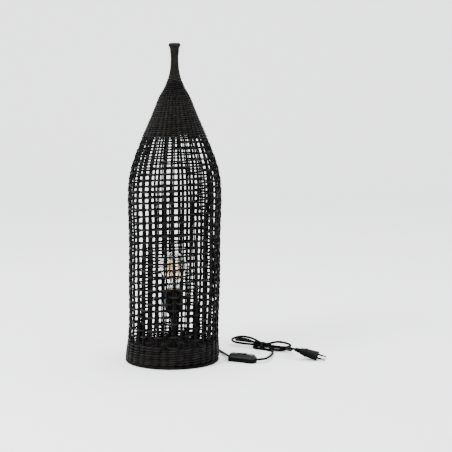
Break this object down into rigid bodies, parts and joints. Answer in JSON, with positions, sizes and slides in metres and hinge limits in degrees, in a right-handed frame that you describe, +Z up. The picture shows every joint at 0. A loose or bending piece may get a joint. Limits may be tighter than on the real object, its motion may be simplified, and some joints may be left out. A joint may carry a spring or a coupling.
{
  "type": "table lamp",
  "caption": "Table lamp with a bottle-shaped woven rattan shade that lifts off a weighted base, a screw-in filament bulb and a mains cord with a rocker switch",
  "frame": {"origin": "On the surface that the lamp stands on, under the middle of the shade and the base.", "axes": "+Z is up, along the lamp and its bulb. +X runs to the right, towards the switch and the plug. +Y runs away from the viewer."},
  "size_m": [0.4456, 0.2763, 0.7],
  "materials": {
    "rattan": "black-stained rattan with a satin sheen and brown tints where the stain is thin",
    "felt": "black felt",
    "iron": "rough cast",
    "black_paint": "satin black powder coat",
    "zinc_steel": "zinc-plated",
    "black_plastic": "moulded, fine satin texture",
    "grey_plastic": "moulded, matt, dark grey",
    "cord_sheath": "smooth black sheath with a satin sheen",
    "tie_wire": "plastic-coated tie",
    "ceramic": "unglazed off-white ceramic",
    "brass": "plain",
    "screw_steel": "plain",
    "pin_metal": "nickel-plated, with black insulating sleeves at the root",
    "cap_metal": "rolled thread, bright",
    "cap_glass": "black vitreous insulator",
    "clear_glass": "clear, thin, glossy",
    "filament": "amber phosphor coating",
    "filament_wire": "bright wire"
  },
  "bodies": {
    "base": {"felt_pad": "felt", "base_weight": "iron", "base_pan": "black_paint", "lower_washer": "zinc_steel", "lower_nut": "zinc_steel", "upper_washer": "zinc_steel", "upper_nut": "zinc_steel", "threaded_tube": "zinc_steel", "cord_bush": "black_plastic", "holder_dome": "black_plastic", "holder_shell": "black_plastic", "switch_base": "black_plastic", "plug_body": "black_plastic", "switch_cover": "grey_plastic", "inner_lead": "cord_sheath", "cord_to_switch": "cord_sheath", "cord_to_hank": "cord_sheath", "cord_hank": "cord_sheath", "cord_to_plug": "cord_sheath", "hank_tie": "tie_wire", "holder_insert": "ceramic", "centre_contact": "brass", "side_contact": "brass", "terminal_screw_1": "brass", "terminal_screw_2": "brass", "fixed_contact": "brass", "feed_contact": "brass", "switch_screw_1": "screw_steel", "switch_screw_2": "screw_steel", "rocker_pin": "screw_steel", "plug_pin_1": "pin_metal", "plug_pin_2": "pin_metal"},
    "shade": {"foot_border": "rattan", "skirt_weave": "rattan", "body_weave": "rattan", "shoulder_weave": "rattan", "cone_weave": "rattan", "neck_weave": "rattan", "rim_ring": "rattan"},
    "bulb_carrier": {"bulb_tip": "cap_metal"},
    "bulb": {"cap_insulator": "cap_glass", "bulb_cap": "cap_metal", "bulb_glass": "clear_glass", "glass_stem": "clear_glass", "filament_1": "filament", "filament_2": "filament", "filament_3": "filament", "filament_4": "filament", "filament_crown": "filament_wire"},
    "rocker": {"switch_rocker": "black_plastic"}
  },
  "joints": [
    {"name": "shade_lift", "type": "slide", "parent": "base", "child": "shade", "axis": [0, 0, 1], "range_m": [0, 0.28]},
    {"name": "bulb_unscrew", "type": "hinge", "parent": "bulb_carrier", "child": "bulb", "pos_m": [0, 0, 0.15], "axis": [0, 0, 1], "range_deg": [0, 1080]},
    {"name": "bulb_rise", "type": "slide", "parent": "base", "child": "bulb_carrier", "axis": [0, 0, 1], "range_m": [0, 0.011]},
    {"name": "switch_rocker", "type": "hinge", "parent": "base", "child": "rocker", "pos_m": [0.153, -0.0195, 0.014], "axis": [0.4618, 0.887, 0], "range_deg": [0, 18]}
  ],
  "couplings": [
    {"joint": "bulb_rise", "follows": "bulb_unscrew", "m_per_rad": 0.000576}
  ]
}
